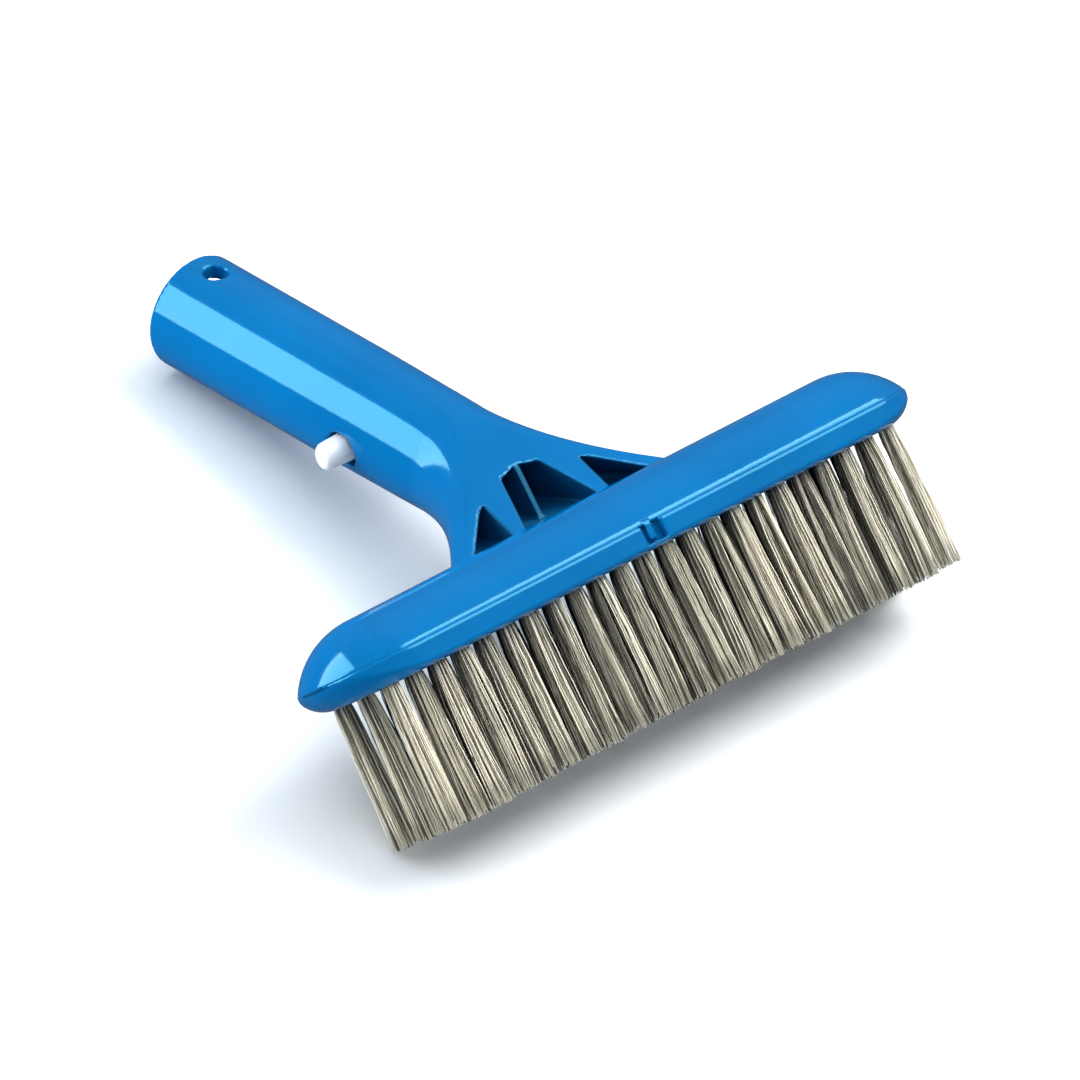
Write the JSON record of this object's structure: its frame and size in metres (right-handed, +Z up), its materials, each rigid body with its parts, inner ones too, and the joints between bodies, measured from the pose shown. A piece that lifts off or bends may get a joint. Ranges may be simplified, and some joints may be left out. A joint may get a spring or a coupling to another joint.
{
  "type": "pool wall brush",
  "caption": "Pool wall brush with a domed blue plastic head, rows of steel wire tufts and a hollow handle with a sprung button clip that locks it in a telescopic pole.",
  "frame": {"origin": "centre of the bottom of the bounding box, on the surface the brush lies on", "axes": "+X along the head, +Y from the bristles towards the free end of the handle, +Z up from the surface. The brush lies on the tips of its rear bristle row and the rim of its handle, so its bristles point forwards and down."},
  "size_m": [0.185, 0.182, 0.0526],
  "materials": {
    "body": "polished moulded plastic",
    "block": "moulded plastic, slightly less polished",
    "wire": "fine straight steel wires",
    "staple": "flat drawn wire",
    "clip": "natural white nylon"
  },
  "bodies": {
    "brush": {"brush_back": "body", "bristle_block": "block", "tuft_row_front": "wire", "tuft_row_middle": "wire", "tuft_row_rear": "wire", "staple_row_front": "staple", "staple_row_middle": "staple", "staple_row_rear": "staple", "clip_bow": "clip"},
    "leg_left": {"clip_leg_left": "clip"},
    "leg_right": {"clip_leg_right": "clip"}
  },
  "joints": [
    {"name": "button_left_press", "type": "hinge", "parent": "brush", "child": "leg_left", "pos_m": [-0.0082, 0.05967, 0.01767], "axis": [0, 0.1607, 0.987], "range_deg": [0, 10], "stiffness_Nm_per_rad": 0.6, "springref_deg": -6.88},
    {"name": "button_right_press", "type": "hinge", "parent": "brush", "child": "leg_right", "pos_m": [0.0082, 0.05967, 0.01767], "axis": [0, -0.1607, -0.987], "range_deg": [0, 10], "stiffness_Nm_per_rad": 0.6, "springref_deg": -6.88}
  ]
}
